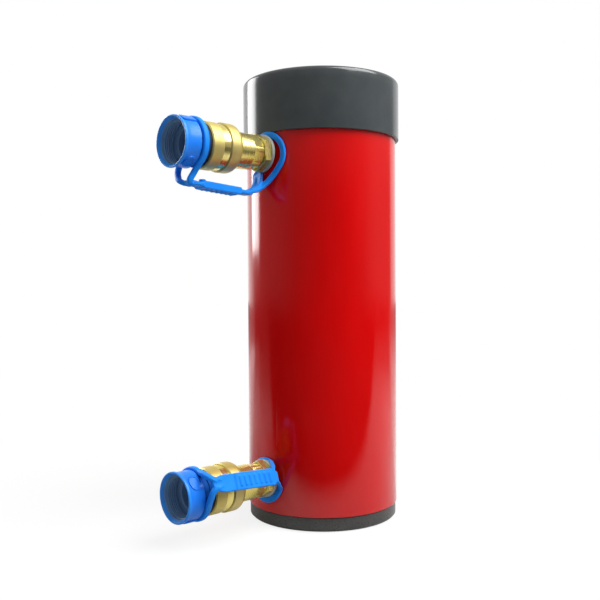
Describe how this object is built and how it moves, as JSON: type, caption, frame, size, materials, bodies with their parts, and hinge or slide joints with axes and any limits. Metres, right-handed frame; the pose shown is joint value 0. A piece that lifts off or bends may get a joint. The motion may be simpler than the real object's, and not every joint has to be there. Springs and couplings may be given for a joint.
{
  "type": "hollow plunger cylinder",
  "caption": "Double-acting hydraulic cylinder with a hollow plunger and through hole, red barrel, black thread protector and base, and gold couplers under blue dust caps on straps.",
  "frame": {"origin": "centre of the through hole at the base face", "axes": "+Z along the through hole towards the saddle, -Y out of the couplers"},
  "size_m": [0.1194, 0.1988, 0.333],
  "materials": {
    "red_paint": "gloss red enamel",
    "black_base": "satin black",
    "black_plastic": "satin black moulding",
    "bright_steel": "turned",
    "dark_steel": "oiled black oxide",
    "hard_chrome": "ground hard chrome",
    "bronze": "bearing strip",
    "black_rubber": "matte",
    "gold_steel": "yellow zinc plate",
    "blue_plastic": "glossy moulding",
    "blue_strap": "smooth flexible moulding"
  },
  "bodies": {
    "barrel": {"cylinder_body": "red_paint", "base_plug": "black_base", "base_seal": "black_rubber", "tube_seal": "black_rubber", "centre_tube": "bright_steel", "gland_nut": "dark_steel", "gland_seal": "black_rubber", "rod_seal": "black_rubber", "gland_bearing": "bronze", "wiper": "black_rubber", "thread_protector": "black_plastic", "upper_adapter": "gold_steel", "upper_coupler": "gold_steel", "upper_wire_ring": "bright_steel", "upper_spring": "bright_steel", "upper_valve_seat": "dark_steel", "upper_valve_ring": "black_rubber", "upper_strap": "blue_strap", "lower_adapter": "gold_steel", "lower_coupler": "gold_steel", "lower_wire_ring": "bright_steel", "lower_spring": "bright_steel", "lower_valve_seat": "dark_steel", "lower_valve_ring": "black_rubber", "lower_strap": "blue_strap"},
    "plunger": {"plunger": "hard_chrome", "piston": "dark_steel", "piston_seal": "black_rubber", "piston_bearing": "bronze", "piston_inner_seal": "black_rubber", "saddle": "dark_steel", "saddle_ring": "black_rubber"},
    "upper collar": {"upper_collar": "gold_steel"},
    "upper poppet": {"upper_poppet": "bright_steel"},
    "upper gasket": {"upper_gasket": "black_rubber"},
    "upper cap": {"upper_dust_cap": "blue_plastic"},
    "lower collar": {"lower_collar": "gold_steel"},
    "lower poppet": {"lower_poppet": "bright_steel"},
    "lower gasket": {"lower_gasket": "black_rubber"},
    "lower cap": {"lower_dust_cap": "blue_plastic"}
  },
  "joints": [
    {"name": "plunger_stroke", "type": "slide", "parent": "barrel", "child": "plunger", "axis": [0, 0, 1], "range_m": [0, 0.1778]},
    {"name": "upper_collar_spin", "type": "hinge", "parent": "barrel", "child": "upper collar", "pos_m": [0, -0.098, 0.271], "axis": [0, -1, 0], "continuous": true},
    {"name": "upper_cap_slide", "type": "slide", "parent": "barrel", "child": "upper gasket", "axis": [0, -1, 0], "range_m": [0, 0.0075], "deforming": ["upper_strap"]},
    {"name": "upper_cap_turn", "type": "hinge", "parent": "upper gasket", "child": "upper cap", "pos_m": [0, -0.128, 0.271], "axis": [0, -1, 0], "range_deg": [0, 1080]},
    {"name": "upper_poppet_slide", "type": "slide", "parent": "barrel", "child": "upper poppet", "axis": [0, 1, 0], "range_m": [0, 0.0025], "stiffness_N_per_m": 2000, "springref_m": -0.003, "deforming": ["upper_spring"]},
    {"name": "lower_collar_spin", "type": "hinge", "parent": "barrel", "child": "lower collar", "pos_m": [0, -0.098, 0.0355], "axis": [0, -1, 0], "continuous": true},
    {"name": "lower_cap_slide", "type": "slide", "parent": "barrel", "child": "lower gasket", "axis": [0, -1, 0], "range_m": [0, 0.0075], "deforming": ["lower_strap"]},
    {"name": "lower_cap_turn", "type": "hinge", "parent": "lower gasket", "child": "lower cap", "pos_m": [0, -0.128, 0.0355], "axis": [0, -1, 0], "range_deg": [0, 1080]},
    {"name": "lower_poppet_slide", "type": "slide", "parent": "barrel", "child": "lower poppet", "axis": [0, 1, 0], "range_m": [0, 0.0025], "stiffness_N_per_m": 2000, "springref_m": -0.003, "deforming": ["lower_spring"]}
  ],
  "couplings": [
    {"joint": "upper_cap_turn", "follows": "upper_cap_slide", "rad_per_m": 2513.3},
    {"joint": "lower_cap_turn", "follows": "lower_cap_slide", "rad_per_m": 2513.3}
  ]
}
